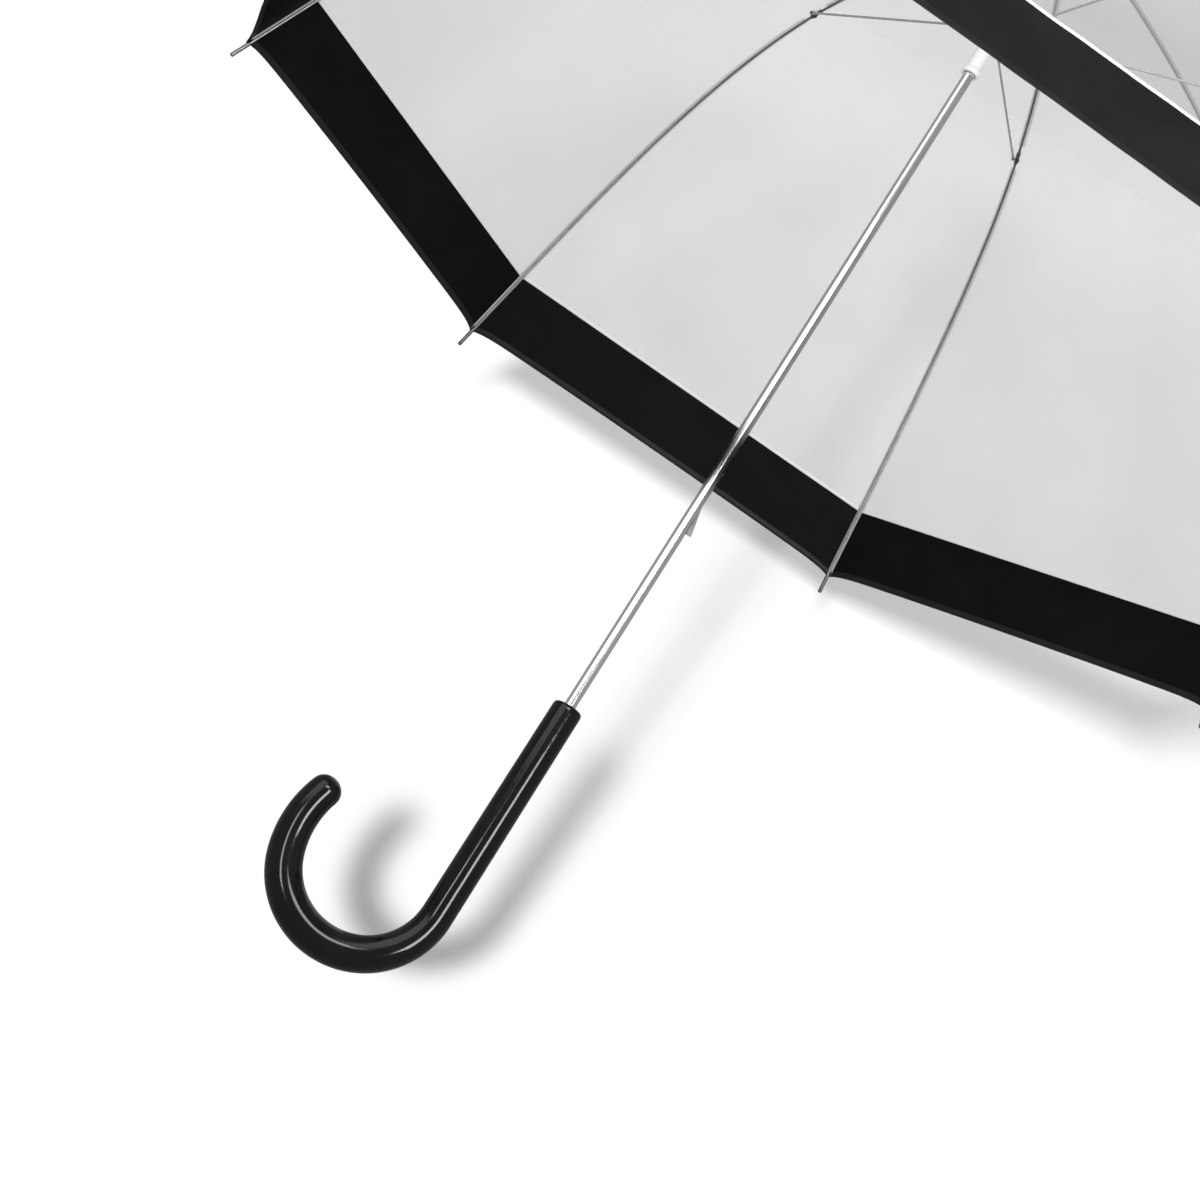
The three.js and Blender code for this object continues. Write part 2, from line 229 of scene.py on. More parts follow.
def film_material(name, alpha, light, dark):
    """Soft clear vinyl: cloudy in broad patches, with painted shade that makes it darker towards the border and
    lighter towards the top, and slight waves.
    """
    s = Shader(name, IOR=1.52)
    height = s.add("ShaderNodeSeparateXYZ")
    s.links.new(s.place, height.inputs["Vector"])
    # Painted shade: the film's colour is darker low down by the border and lighter up towards the rib joints.
    painted_shade_by_height = s.ranged(height.outputs["Z"], 0.16, 0.72, BORDER_Z, JOINT_Z)
    clouds_and_painted_shade = s.add("ShaderNodeMath", operation="ADD")
    s.links.new(s.ranged(s.noise(6, 2, 0.45), -0.12, 0.12), clouds_and_painted_shade.inputs[0])
    s.links.new(painted_shade_by_height, clouds_and_painted_shade.inputs[1])
    clouds_and_painted_shade = clouds_and_painted_shade.outputs["Value"]
    # The base colour carries random clouding plus the painted shade by height.
    s.into("Base Color", s.colours(clouds_and_painted_shade, (0.2, grey(dark, 0.004)), (0.8, grey(light, 0.004))))
    s.into("Alpha", s.ranged(s.noise(9, 2, 0.45), alpha * 1.07, alpha * 0.93))
    s.into("Roughness", s.ranged(s.noise(18, 2), 0.32, 0.44))
    s.bump((s.noise(16, 2, 0.4, s.stretched((1, 1, 0.35))), 1.6 * MM))
    return s.material


def border_material(name, value, shine, gloss_low, gloss_high):
    """Opaque black vinyl, satin, with a fine calendered grain and faint dust-grey clouding."""
    s = Shader(name, IOR=1.5)
    s.surface.inputs["Specular IOR Level"].default_value = shine
    patches = s.noise(14, 5, 0.6)
    s.into("Base Color", s.colours(patches, (0.3, grey(value * 0.8)), (0.72, grey(value * 1.35, 0.02))))
    s.into("Roughness", s.ranged(s.noise(40, 4), gloss_low, gloss_high))
    s.bump((s.noise(18, 2, 0.4), 1.2 * MM), (s.noise(1500, 2, 0.6), 0.03 * MM))
    return s.material


def steel_material(name, value, rough, streak=0.12, tint=0.005):
    """Drawn wire: streaks along its length, slightly mottled plating."""
    s = Shader(name, Metallic=1.0)
    along = s.stretched((14, 60, 1), s.uv())
    streaks = s.noise(6, 4, 0.6, along)
    mottle = s.noise(160, 4)
    s.into("Base Color", s.colours(
        mottle,
        (0.3, grey(value * 0.82, tint)),
        (0.7, grey(min(value * 1.12, 0.95), tint)),
    ))
    s.into("Roughness", s.ranged(streaks, rough, rough + streak))
    s.bump((streaks, 0.03 * MM), (s.noise(900, 2), 0.01 * MM))
    return s.material


def chrome_material():
    """Bright plating with hair-fine rubbing marks along the tube where the runner slides."""
    s = Shader("chrome", Metallic=1.0)
    along = s.stretched((40, 6, 1), s.uv())
    marks = s.noise(9, 5, 0.65, along)
    haze = s.noise(30, 3)
    s.into("Base Color", s.colours(haze, (0.3, (0.80, 0.805, 0.81)), (0.7, (0.88, 0.883, 0.885))))
    s.into("Roughness", s.ranged(marks, 0.09, 0.14))
    s.bump((marks, 0.003 * MM))
    return s.material


def white_plastic_material():
    """Moulded acetal, semi-gloss, with faint flow shading and a slight warm ageing."""
    s = Shader("white_plastic", IOR=1.48)
    s.surface.inputs["Subsurface Weight"].default_value = 0.12
    s.surface.inputs["Subsurface Radius"].default_value = (0.002, 0.0018, 0.0015)
    flow = s.noise(60, 4, 0.55, s.stretched((1, 1, 0.4)))
    s.into("Base Color", s.colours(flow, (0.3, (0.66, 0.66, 0.65)), (0.7, (0.74, 0.74, 0.735))))
    s.into("Roughness", s.ranged(s.noise(200, 3), 0.28, 0.42))
    s.bump((s.noise(700, 3), 0.02 * MM))
    return s.material


def black_gloss_material(name="black_gloss", low=0.07, high=0.15):
    """Polished black plastic: deep colour, faint orange peel, finger haze and hairline marks."""
    s = Shader(name, IOR=1.49)
    s.surface.inputs["Specular IOR Level"].default_value = 0.26
    haze = s.noise(34, 5, 0.6)
    s.into("Base Color", s.colours(haze, (0.35, grey(0.0022)), (0.75, grey(0.0042, 0.02))))
    scuffs = s.noise(90, 4, 0.7, s.stretched((1, 1, 6)))
    s.into("Roughness", s.ranged(scuffs, low, high))
    s.bump((s.noise(120, 2, 0.4), 0.05 * MM), (scuffs, 0.006 * MM))
    return s.material


FILM = film_material("clear_film", alpha=0.27, light=0.42, dark=0.18)
# The welded strips are paler than the film: partly their milkier double layer, partly a painted highlight along
# the ribs.
WELD = film_material("welded_film", alpha=0.52, light=0.72, dark=0.64)
# One black vinyl in three copies: the darker inside copy is painted shade, and the lighter outside and hem
# copies are painted sheen.
SHADED_BORDER_INSIDE = border_material("border_inside", 0.0034, shine=0.025, gloss_low=0.40, gloss_high=0.54)
LIT_BORDER_OUTSIDE = border_material("border_outside", 0.0070, shine=0.06, gloss_low=0.34, gloss_high=0.46)
LIT_HEM_VINYL = border_material("hem_film", 0.0095, shine=0.07, gloss_low=0.32, gloss_high=0.44)
STEEL = steel_material("zinc_wire", value=0.30, rough=0.30)
BRIGHT_STEEL = steel_material("bright_wire", value=0.74, rough=0.30)
TIP_STEEL = steel_material("tip_steel", value=0.17, rough=0.36)
SPRING = steel_material("spring_steel", value=0.13, rough=0.34, tint=0.02)
CRIMP = steel_material("crimp_steel", value=0.15, rough=0.36)
CHROME = chrome_material()
WHITE = white_plastic_material()
BLACK = black_gloss_material()
BLACK_SATIN = black_gloss_material("black_satin", low=0.24, high=0.38)


# Making pieces

def piece(name, mesh, material, body, replaces=(), azimuth=0.0, smooth=35):
    """Finishes a mesh as a piece of the object, turned about the shaft and riding on its body."""
    mesh.transform(Matrix.Rotation(azimuth, 4, "Z"))
    mesh.materials.append(material)
    made = bpy.data.objects.new(name, mesh)
    bpy.context.scene.collection.objects.link(made)
    if smooth is not None:
        mesh.shade_smooth()
        mesh.set_sharp_from_angle(angle=math.radians(smooth))
    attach(made, body)
    if replaces:
        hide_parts(*replaces)
    return made


def mesh_from(name, build, closed=True):
    """Runs build(bmesh) and returns the mesh it made; a closed one has its faces turned out."""
    work = bmesh.new()
    build(work)
    if closed:
        bmesh.ops.remove_doubles(work, verts=work.verts, dist=1e-7)
        bmesh.ops.recalc_face_normals(work, faces=work.faces)
    mesh = bpy.data.meshes.new(name)
    work.to_mesh(mesh)
    work.free()
    return mesh


def joined(name, meshes):
    work = bmesh.new()
    for mesh in meshes:
        work.from_mesh(mesh)
        bpy.data.meshes.remove(mesh)
    mesh = bpy.data.meshes.new(name)
    work.to_mesh(mesh)
    work.free()
    return mesh


def skin(work, rings, closed_ring=True, caps=True):
    """Joins rows of points with quads, with u round and v along in metres as the UV map 'along'."""
    layer = work.loops.layers.uv.new("along") if not work.loops.layers.uv else work.loops.layers.uv[0]
    rows = [[work.verts.new(p) for p in ring] for ring in rings]
    count = len(rows[0])
    length = 0.0
    for i in range(len(rows) - 1):
        step = (rows[i + 1][0].co - rows[i][0].co).length
        for j in range(count if closed_ring else count - 1):
            k = (j + 1) % count
            face = work.faces.new((rows[i][j], rows[i][k], rows[i + 1][k], rows[i + 1][j]))
            places = ((j, 0), (j + 1, 0), (j + 1, step), (j, step))
            for loop, (u, v) in zip(face.loops, places):
                loop[layer].uv = (u / count, length + v)
        length += step
    if caps and closed_ring:
        work.faces.new(reversed(rows[0]))
        work.faces.new(rows[-1])
    return rows


def sweep(name, stations, sides=16, side_offset=0.0):
    """A bar in the x-z plane. A station is (x, z, half height in the plane, half width across it)."""
    def build(work):
        rings = []
        last = len(stations) - 1
        for i, (x, z, tall, wide) in enumerate(stations):
            before, after = stations[max(i - 1, 0)], stations[min(i + 1, last)]
            way = Vector((after[0] - before[0], after[1] - before[1])).normalized()
            ring = []
            for s in range(sides):
                turn = 2 * math.pi * s / sides
                out = tall * math.cos(turn)
                ring.append(Vector((
                    x + way.y * out,
                    side_offset + wide * math.sin(turn),
                    z - way.x * out,
                )))
            rings.append(ring)
        skin(work, rings)
    return mesh_from(name, build)


def lathe(name, profile, segments=64, closed=False):
    """Turns (radius, height) points about the shaft's axis; a closed profile makes a ring."""
    def build(work):
        layer = work.loops.layers.uv.new("along")
        rows = []
        for k in range(segments):
            a = 2 * math.pi * k / segments
            rows.append([
                work.verts.new((r * math.cos(a), r * math.sin(a), z)) for r, z in profile
            ])
        count = len(profile)
        for k in range(segments):
            here, there = rows[k], rows[(k + 1) % segments]
            for i in range(count if closed else count - 1):
                j = (i + 1) % count
                face = work.faces.new((here[i], there[i], there[j], here[j]))
                heights = (profile[i][1], profile[i][1], profile[j][1], profile[j][1])
                turns = (k, k + 1, k + 1, k)
                for loop, turn, height in zip(face.loops, turns, heights):
                    loop[layer].uv = (turn / segments, height)
    return mesh_from(name, build)


def rounded(points, radius, parts=3):
    """Rounds the corners of a closed (radius, height) outline."""
    out = []
    count = len(points)
    for i, corner in enumerate(points):
        corner = Vector(corner)
        before, after = Vector(points[i - 1]), Vector(points[(i + 1) % count])
        reach = min(radius, (before - corner).length * 0.45, (after - corner).length * 0.45)
        start = corner + (before - corner).normalized() * reach
        end = corner + (after - corner).normalized() * reach
        for s in range(parts + 1):
            t = s / parts
            out.append(tuple(start.lerp(corner, t).lerp(corner.lerp(end, t), t)))
    return out


def torus(name, radius, wire, z, segments=72, sides=12):
    ring = [
        (radius + wire * math.cos(2 * math.pi * s / sides), z + wire * math.sin(2 * math.pi * s / sides))
        for s in range(sides)
    ]
    return lathe(name, ring, segments, closed=True)


def cross_pin(name, radius, low, high, x, z, sides=20, dome=0.45):
    """A pin along y with domed ends."""
    def build(work):
        ends = [(low, 0.3), (low + radius * dome * 0.4, 0.75), (low + radius * dome, 1)]
        ends += [(high - radius * dome, 1), (high - radius * dome * 0.4, 0.75), (high, 0.3)]
        rings = []
        for y, share in ends:
            rings.append([
                Vector((
                    x + radius * share * math.cos(2 * math.pi * s / sides),
                    y,
                    z + radius * share * math.sin(2 * math.pi * s / sides),
                ))
                for s in range(sides)
            ])
        skin(work, rings)
    return mesh_from(name, build)


def eye_ring(name, x, z, radius, hole, half_width, sides=24, side_offset=0.0):
    """A flattened wire eye round a ring wire: a short tube along y with rounded rims."""
    def build(work):
        edge = (radius - hole) * 0.3
        section = rounded(
            [(hole, -half_width), (radius, -half_width), (radius, half_width), (hole, half_width)],
            edge,
        )
        rings = []
        for s in range(sides + 1):
            a = 2 * math.pi * s / sides
            rings.append([
                Vector((x + r * math.cos(a), side_offset + y, z + r * math.sin(a)))
                for r, y in section
            ])
        skin(work, rings, caps=False)
    return mesh_from(name, build)


def box_mesh(low, high):
    def build(work):
        bmesh.ops.create_cube(work, size=1.0)
        size = [b - a for a, b in zip(low, high)]
        for vertex in work.verts:
            vertex.co = Vector([a + s * (c + 0.5) for a, s, c in zip(low, size, vertex.co)])
    return mesh_from("cutter", build)


def carved(mesh, cutters, bevel=0.15 * MM):
    """Cuts the cutters' meshes out of mesh and softens the new edges."""
    whole = bpy.data.objects.new("whole", mesh)
    tool = bpy.data.objects.new("tool", joined("tool", cutters))
    for made in (whole, tool):
        bpy.context.scene.collection.objects.link(made)
    cut = whole.modifiers.new("cut", "BOOLEAN")
    cut.object = tool
    cut.operation = "DIFFERENCE"
    cut.solver = "EXACT"
    cut.use_self = True
    if bevel:
        soft = whole.modifiers.new("soft", "BEVEL")
        soft.width = bevel
        soft.segments = 2
        soft.limit_method = "ANGLE"
        soft.angle_limit = math.radians(40)
    seen = whole.evaluated_get(bpy.context.evaluated_depsgraph_get())
    result = bpy.data.meshes.new_from_object(seen)
    for made in (whole, tool):
        bpy.data.objects.remove(made)
    return result


# The rib's line, in the plane of a rib

class RibLine:
    """Places along a rib by the length of wire from the notch's pivot."""

    def __init__(self, parts=400):
        joint = Vector((JOINT_R, JOINT_Z))
        top = (Vector((NOTCH_R, NOTCH_Z)), joint + Vector((-74.5, 41)) * MM, joint)
        side = (
            joint,
            joint + Vector((98, -54)) * MM,
            Vector((HEM_R - 49.2 * MM, HEM_Z + 109.2 * MM)),
            Vector((HEM_R, HEM_Z)),
        )
        self.points = [self.on(top, i / parts) for i in range(parts)]
        self.points += [self.on(side, i / parts) for i in range(parts + 1)]
        self.lengths = [0.0]
        for a, b in zip(self.points, self.points[1:]):
            self.lengths.append(self.lengths[-1] + (b - a).length)
        self.joint = self.lengths[parts]
        self.end = self.lengths[-1]

    @staticmethod
    def on(points, t):
        while len(points) > 1:
            points = [a.lerp(b, t) for a, b in zip(points, points[1:])]
        return points[0]

    def at(self, length):
        """(place, outward normal) in (radius, height), going straight on past the ends."""
        low, high = 0, len(self.lengths) - 1
        while high - low > 1:
            middle = (low + high) // 2
            if self.lengths[middle] <= length:
                low = middle
            else:
                high = middle
        a, b = self.points[low], self.points[low + 1]
        share = (length - self.lengths[low]) / (self.lengths[low + 1] - self.lengths[low])
        before, after = self.points[max(low - 1, 0)], self.points[min(low + 2, len(self.points) - 1)]
        way = (after - before).normalized()
        return a.lerp(b, share), Vector((-way.y, way.x))

    def where(self, test):
        """The first length at which test(place) is true."""
        for length, point in zip(self.lengths, self.points):
            if test(point):
                return length
        return self.end


LINE = RibLine()
FILM_TOP = LINE.where(lambda p: p.x >= FILM_START)
SEAM = LINE.where(lambda p: p.x > JOINT_R and p.y <= BORDER_Z)
GORE_COLUMNS = 48


# Canopy film. Each gore is one panel of film, ruled straight from rib to rib, that sags a little
# between the ribs and carries faint pleats.

def relief(across, length, number):
    """How far the film stands out from its straight rulings."""
    free = 1 - across ** 4
    share = (length - FILM_TOP) / (LINE.end - FILM_TOP)
    sag = -3.2 * MM * (1 - across ** 2) * math.sin(math.pi * min(share * 1.05, 1)) ** 2
    seed = 7.3 * number
    pleats = 0.55 * MM * noise.noise(Vector((across * 6.5, length * 3, seed)))
    waves = 0.8 * MM * noise.noise(Vector((across * 2.2, length * 14, seed + 3)))
    pull = 0.0
    for corner in (LINE.joint, SEAM):
        for rib in (-1, 1):
            point = LINE.at(length)[0]
            dx = (across - rib) * point.x * math.sin(GORE_HALF)
            dz = length - corner
            away = math.hypot(dx, dz)
            fan = math.sin(6 * math.atan2(dz, abs(dx) + 1e-6) + number)
            pull += 0.35 * MM * fan * min(away / (12 * MM), 1) * math.exp(-away / (38 * MM))
    return free * (sag + pleats + waves + pull)


def hem_rise(across):
    """How much shorter the panel is away from the ribs, which leaves a small point at each tip."""
    from_rib = (1 - abs(across)) * HEM_R * math.sin(GORE_HALF)
    return 3.2 * MM * (1 - math.exp(-from_rib / (9 * MM))) + 1.2 * MM * (1 - across ** 2)


def film_point(across, length, number, lift=0.0):
    place, out = LINE.at(length)
    stand = FILM_OFFSET + lift
    radius = place.x + out.x * stand
    x = radius * math.cos(GORE_HALF)
    height = place.y + out.y * stand
    normal = Vector((out.x, 0, out.y * math.cos(GORE_HALF))).normalized()
    y = across * radius * math.sin(GORE_HALF)
    return Vector((x, y, height)) + normal * relief(across, length, number)


def spread(count):
    """Places across a gore, closer together near the ribs."""
    even = [2 * i / count - 1 for i in range(count + 1)]
    return [math.sin(math.pi / 2 * a) * 0.35 + a * 0.65 for a in even]


ACROSS = spread(GORE_COLUMNS)


def panel(name, lengths, number, hem=False):
    def build(work):
        rings = []
        for i, length in enumerate(lengths):
            down = i / (len(lengths) - 1)
            rings.append([
                film_point(a, length - (down * hem_rise(a) if hem else 0), number) for a in reversed(ACROSS)
            ])
        skin(work, rings, closed_ring=False, caps=False)
    return mesh_from(name, build, closed=False)


def trim(name, section, number, along_hem):
    """A strip along the hem or the seam. Its closed section is (down the film, out of it)."""
    def build(work):
        rings = []
        for a in ACROSS:
            base = LINE.end - hem_rise(a) if along_hem else SEAM
            rings.append([film_point(a, base + down, number, lift) for down, lift in section])
        skin(work, rings)
    return mesh_from(name, build)


def steps(start, end, count):
    return [start + (end - start) * i / count for i in range(count + 1)]


def thicken(made, thickness=FILM_THICKNESS):
    solid = made.modifiers.new("thickness", "SOLIDIFY")
    solid.thickness = thickness
    solid.offset = 1
    made.modifiers.new("even_shading", "WEIGHTED_NORMAL").weight = 100
    return made


HEM_FOLD = [
    (-4.6, -0.12), (-4.4, -0.3), (-1.2, -0.32), (-0.2, -0.26), (0.3, 0.1),
    (-0.2, 0.46), (-1.2, 0.52), (-4.4, 0.5), (-4.6, 0.32),
]
WELD_BEAD = [
    (-2.3, -0.06), (-2.0, -0.24), (-0.6, -0.26), (0.2, -0.18), (0.4, 0.1),
    (0.2, 0.38), (-0.6, 0.46), (-2.0, 0.44), (-2.3, 0.26),
]


def in_metres(section):
    return [(a * MM, b * MM) for a, b in section]


def gather(made):
    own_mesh(made)


def canopy():
    for k in range(RIB_COUNT):
        number = k + 1
        azimuth = FIRST_RIB + (2 * k + 1) * GORE_HALF
        top_body, side_body = f"canopy_top_{number}", f"canopy_side_{number}"
        top = piece(
            f"film_top_{number}", panel("film", steps(FILM_TOP, LINE.joint, 26), number),
            FILM, top_body, [f"gore_top_{number}"], azimuth, None,
        )
        side = piece(
            f"film_side_{number}", panel("film", steps(LINE.joint, SEAM, 32), number),
            FILM, side_body, [f"gore_side_{number}"], azimuth, None,
        )
        band = piece(
            f"border_band_{number}", panel("band", steps(SEAM, LINE.end, 12), number, hem=True),
            LIT_BORDER_OUTSIDE, side_body, [f"border_{number}"], azimuth, None,
        )
        # The band's inside faces take the darker copy of the vinyl, which is painted shade.
        band.data.materials.append(SHADED_BORDER_INSIDE)
        # The hem fold takes a lighter copy of the black vinyl, which is painted sheen.
        fold = piece(
            f"hem_fold_{number}", trim("fold", in_metres(HEM_FOLD), number, True),
            LIT_HEM_VINYL, side_body, (), azimuth, 50,
        )
        weld = piece(
            f"border_weld_{number}", trim("weld", in_metres(WELD_BEAD), number, False),
            WELD, side_body, (), azimuth, 50,
        )
        for made in (top, side, band):
            made.data.shade_smooth()
            thicken(made)
        band.modifiers["thickness"].material_offset = 1
        for made in (top, side, band, fold, weld):
            gather(made)


def rib_sleeve(name, start, end, half_width, material, body, azimuth):
    """The narrow welded strip that holds the film's two edges to a rib, bent over the corner."""
    def build(work):
        rings = []
        for length in steps(start, end, max(8, int((end - start) / (8 * MM)))):
            place, out = LINE.at(length)
            ring = []
            for y in (1.0, 0.7, 0.35, 0.0, -0.35, -0.7, -1.0):
                sideways = y * half_width
                drop = abs(sideways) * math.tan(GORE_HALF) * (0.6 + 0.4 * abs(y))
                stand = FILM_OFFSET - 0.28 * MM - drop
                ring.append(Vector((place.x + out.x * stand, sideways, place.y + out.y * stand)))
            rings.append(ring)
        skin(work, rings, closed_ring=False, caps=False)
    sleeve = mesh_from("sleeve", build, closed=False)
    made = piece(name, sleeve, material, body, (), azimuth, None)
    made.data.shade_smooth()
    return thicken(made, 0.15 * MM)


# Ribs and stretchers

def upper_rib(number, azimuth):
    body = f"rib_upper_{number}"
    stations = []
    for length in steps(1.4 * MM, LINE.joint + 0.2 * MM, 44):
        place, _ = LINE.at(length)
        flat = max(0.0, 1 - (length - 1.4 * MM) / (4 * MM))
        stations.append((place.x, place.y, RIB_WIRE * (1 + 0.35 * flat), RIB_WIRE * (1 - 0.42 * flat)))
    wire = joined("rib", [
        sweep("wire", stations, 16),
        eye_ring("eye", NOTCH_R, NOTCH_Z, EYE_R, EYE_HOLE, EYE_HALF),
    ])
    piece(f"rib_upper_wire_{number}", wire, STEEL, body, [body], azimuth)
    piece(f"rib_clip_{number}", rib_clip(), CRIMP, body, (), azimuth)
    rib_sleeve(
        f"seam_upper_{number}", FILM_TOP + 4 * MM, LINE.joint - 12 * MM, SLEEVE_HALF, FILM, body, azimuth,
    )


def rib_clip():
    """A pressed steel clip, crimped on the wire above the pivot and open below it, with its rivet."""
    place, out = LINE.at(LINE.joint)
    way = Vector((out.y, -out.x))
    low, high = -7.2 * MM, 3.0 * MM
    stations = []
    for share in (0, 0.04, 0.12, 0.3, 0.38, 0.46, 0.9, 0.97, 1):
        along = low + (high - low) * share
        pinch = 0.82 if share == 0.38 else 1.0
        end = 0.78 if share in (0, 1) else 0.95 if share in (0.04, 0.97) else 1.0
        x = place.x + way.x * along
        z = place.y + way.y * along
        stations.append((x, z, 1.6 * MM * end * pinch, 1.45 * MM * end * pinch))
    rivet = cross_pin("rivet", 0.7 * MM, -1.9 * MM, STRETCHER_SIDE + 1.1 * MM, place.x, place.y)
    outer = STRETCHER_SIDE + 1.3 * MM
    head = cross_pin("head", 1.15 * MM, STRETCHER_SIDE + 0.7 * MM, outer, place.x, place.y)
    back = cross_pin("back", 1.15 * MM, -2.0 * MM, -1.35 * MM, place.x, place.y)
    return joined("clip", [sweep("clip", stations, 20), rivet, head, back])


def lower_rib(number, azimuth):
    body = f"rib_lower_{number}"
    stations = []
    for length in steps(LINE.joint + 0.4 * MM, LINE.end, 56):
        place, _ = LINE.at(length)
        stations.append((place.x, place.y, RIB_WIRE, RIB_WIRE))
    piece(
        f"rib_lower_wire_{number}", sweep("wire", stations, 16), STEEL, body, [body], azimuth,
    )
    cap = []
    bare = RIB_TIP / MM
    shape = (
        (-2.0, 1.15), (-1.6, 1.42), (0, 1.46), (6, 1.44),
        (bare - 3, 1.5), (bare - 1, 1.56), (bare - 0.3, 1.3), (bare, 0.7),
    )
    for along, radius in shape:
        place, _ = LINE.at(LINE.end + along * MM)
        cap.append((place.x, place.y, radius * MM, radius * MM))
    piece(f"rib_cap_{number}", sweep("cap", cap, 20), TIP_STEEL, body, (), azimuth)
    rib_sleeve(
        f"seam_lower_{number}", LINE.joint + 9 * MM, SEAM - 1 * MM, SLEEVE_HALF, FILM, body, azimuth,
    )
    rib_sleeve(
        f"seam_border_{number}", SEAM - 1 * MM, LINE.end - 2 * MM, BORDER_SLEEVE_HALF, WELD, body, azimuth,
    )


def stretcher(number, azimuth):
    """A straight wire with both ends pressed into flat eyes."""
    body = f"stretcher_{number}"
    start = Vector((NOTCH_R, RUNNER_Z))
    end = Vector((JOINT_R, JOINT_Z))
    way = (end - start).normalized()
    length = (end - start).length
    stations = []
    for along in [1.2, 2.0, 3.4, 5.5, 8.0] + [length / MM * i / 12 for i in range(1, 12)]:
        press = max(0.0, 1 - (along - 1.2) / 6.0)
        place = start + way * along * MM
        tall, wide = STRETCHER_WIRE * (1 + 0.7 * press), STRETCHER_WIRE * (1 - 0.3 * press)
        stations.append((place.x, place.y, tall, wide))
    paddle = ((9, 0.82), (6, 1.1), (4, 1.4), (2.5, 1.65), (0.8, 1.8), (-0.6, 1.75), (-1.4, 1.3), (-1.85, 0.7))
    for back, tall in paddle:
        place = end - way * back * MM
        stations.append((place.x, place.y, tall * MM, 0.82 * MM if back > 8 else 0.58 * MM))
    wire = joined("stretcher", [
        sweep("wire", stations, 16, STRETCHER_SIDE),
        eye_ring("eye", NOTCH_R, RUNNER_Z, EYE_R, EYE_HOLE, EYE_HALF, side_offset=STRETCHER_SIDE),
    ])
    piece(f"stretcher_wire_{number}", wire, BRIGHT_STEEL, body, [body], azimuth)


# Runner, notch and what sits on the shaft

def crown_slots(pivot_z, width, side):
    """The cutters of a crown's slots and of the tunnel for its wire ring."""
    cutters = []
    for k in range(RIB_COUNT):
        low = (6.9 * MM, side - width / 2, pivot_z - CROWN_HEIGHT)
        high = (2 * CROWN_R, side + width / 2, pivot_z + CROWN_HEIGHT)
        slot = box_mesh(low, high)
        slot.transform(Matrix.Rotation(FIRST_RIB + 2 * k * GORE_HALF, 4, "Z"))
        cutters.append(slot)
    ring = math.hypot(NOTCH_R, side)
    cutters.append(torus("tunnel", ring, 0.85 * MM, pivot_z, 72, 10))
    return cutters


def runner():
    top = RUNNER_Z + CROWN_HEIGHT / 2
    bottom = top - CROWN_HEIGHT
    lip = RUNNER_LIP_Z
    outline = [
        (4.15 * MM, lip), (6.3 * MM, lip), (6.3 * MM, lip + 3 * MM), (5.3 * MM, lip + 4.2 * MM),
        (5.15 * MM, lip + 20 * MM), (5.2 * MM, bottom - 3 * MM), (7.6 * MM, bottom - 0.6 * MM),
        (CROWN_R - 0.8 * MM, bottom), (CROWN_R, bottom + 1 * MM), (CROWN_R, top - 1 * MM),
        (CROWN_R - 1 * MM, top), (6.2 * MM, top), (5.6 * MM, top + 1.2 * MM), (4.15 * MM, top + 1.2 * MM),
    ]
    cutters = crown_slots(RUNNER_Z, 2.6 * MM, STRETCHER_SIDE)
    half = CATCH_WIDTH / 2 + 0.5 * MM
    cutters.append(box_mesh((2 * MM, -half, lip + 3.8 * MM), (8 * MM, half, lip + 28.8 * MM)))
    body = carved(lathe("runner", rounded(outline, 0.5 * MM), 96, closed=True), cutters)
    piece("runner_body", body, WHITE, "runner", ["runner"], smooth=30)
    piece(
        "runner_ring_wire", torus("ring", math.hypot(NOTCH_R, STRETCHER_SIDE), RING_WIRE, RUNNER_Z),
        STEEL, "runner", ["runner_wire"],
    )


def notch():
    top = NOTCH_Z + CROWN_HEIGHT / 2
    bottom = top - CROWN_HEIGHT
    hub = NOTCH_Z - 12 * MM
    outline = [
        (BORE_R, hub), (6.4 * MM, hub), (6.4 * MM, bottom - 2 * MM), (7.4 * MM, bottom),
        (CROWN_R - 0.8 * MM, bottom), (CROWN_R, bottom + 1 * MM), (CROWN_R, top - 1 * MM),
        (CROWN_R - 1 * MM, top), (BORE_R, top),
    ]
    body = carved(
        lathe("notch", rounded(outline, 0.5 * MM), 96, closed=True), crown_slots(NOTCH_Z, 2.8 * MM, 0),
    )
    piece("notch_body", body, WHITE, "shaft", ["top_notch"], smooth=30)
    piece(
        "notch_ring_wire", torus("ring", NOTCH_R, RING_WIRE, NOTCH_Z),
        STEEL, "shaft", ["notch_wire"],
    )
    low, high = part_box("notch_pin")
    pin = cross_pin("pin", 0.6 * MM, low.y, high.y, 0, (low.z + high.z) / 2)
    piece("notch_cross_pin", pin, STEEL, "shaft", ["notch_pin"])


def shaft_tube():
    low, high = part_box("shaft_tube")
    outline = [(SHAFT_BORE, low.z), (SHAFT_R, low.z), (SHAFT_R, high.z), (SHAFT_BORE, high.z)]
    tall = []
    for start, end in zip(outline, outline[1:] + outline[:1]):
        (r0, z0), (r1, z1) = start, end
        count = 24 if abs(z0 - z1) > 0.1 else 1
        tall += list(zip(steps(r0, r1, count), steps(z0, z1, count)))[:-1]
    half = CATCH_WIDTH / 2 + 0.4 * MM
    bottom_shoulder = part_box("bottom_catch")[0].z
    top_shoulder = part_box("top_catch")[1].z
    lower = box_mesh((0, -half, bottom_shoulder - 2 * MM), (8 * MM, half, bottom_shoulder + 45 * MM))
    upper = box_mesh((-half, 0, top_shoulder - 45 * MM), (half, 8 * MM, top_shoulder + 2 * MM))
    body = carved(lathe("tube", tall, 64, closed=True), [lower, upper], bevel=0.08 * MM)
    piece("shaft_tube_chromed", body, CHROME, "shaft", ["shaft_tube"], smooth=30)
    stop_low, stop_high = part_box("runner_stop_pin")
    pin = cross_pin("pin", 0.8 * MM, stop_low.y, stop_high.y, 0, (stop_low.z + stop_high.z) / 2)
    piece("stop_cross_pin", pin, STEEL, "shaft", ["runner_stop_pin"])


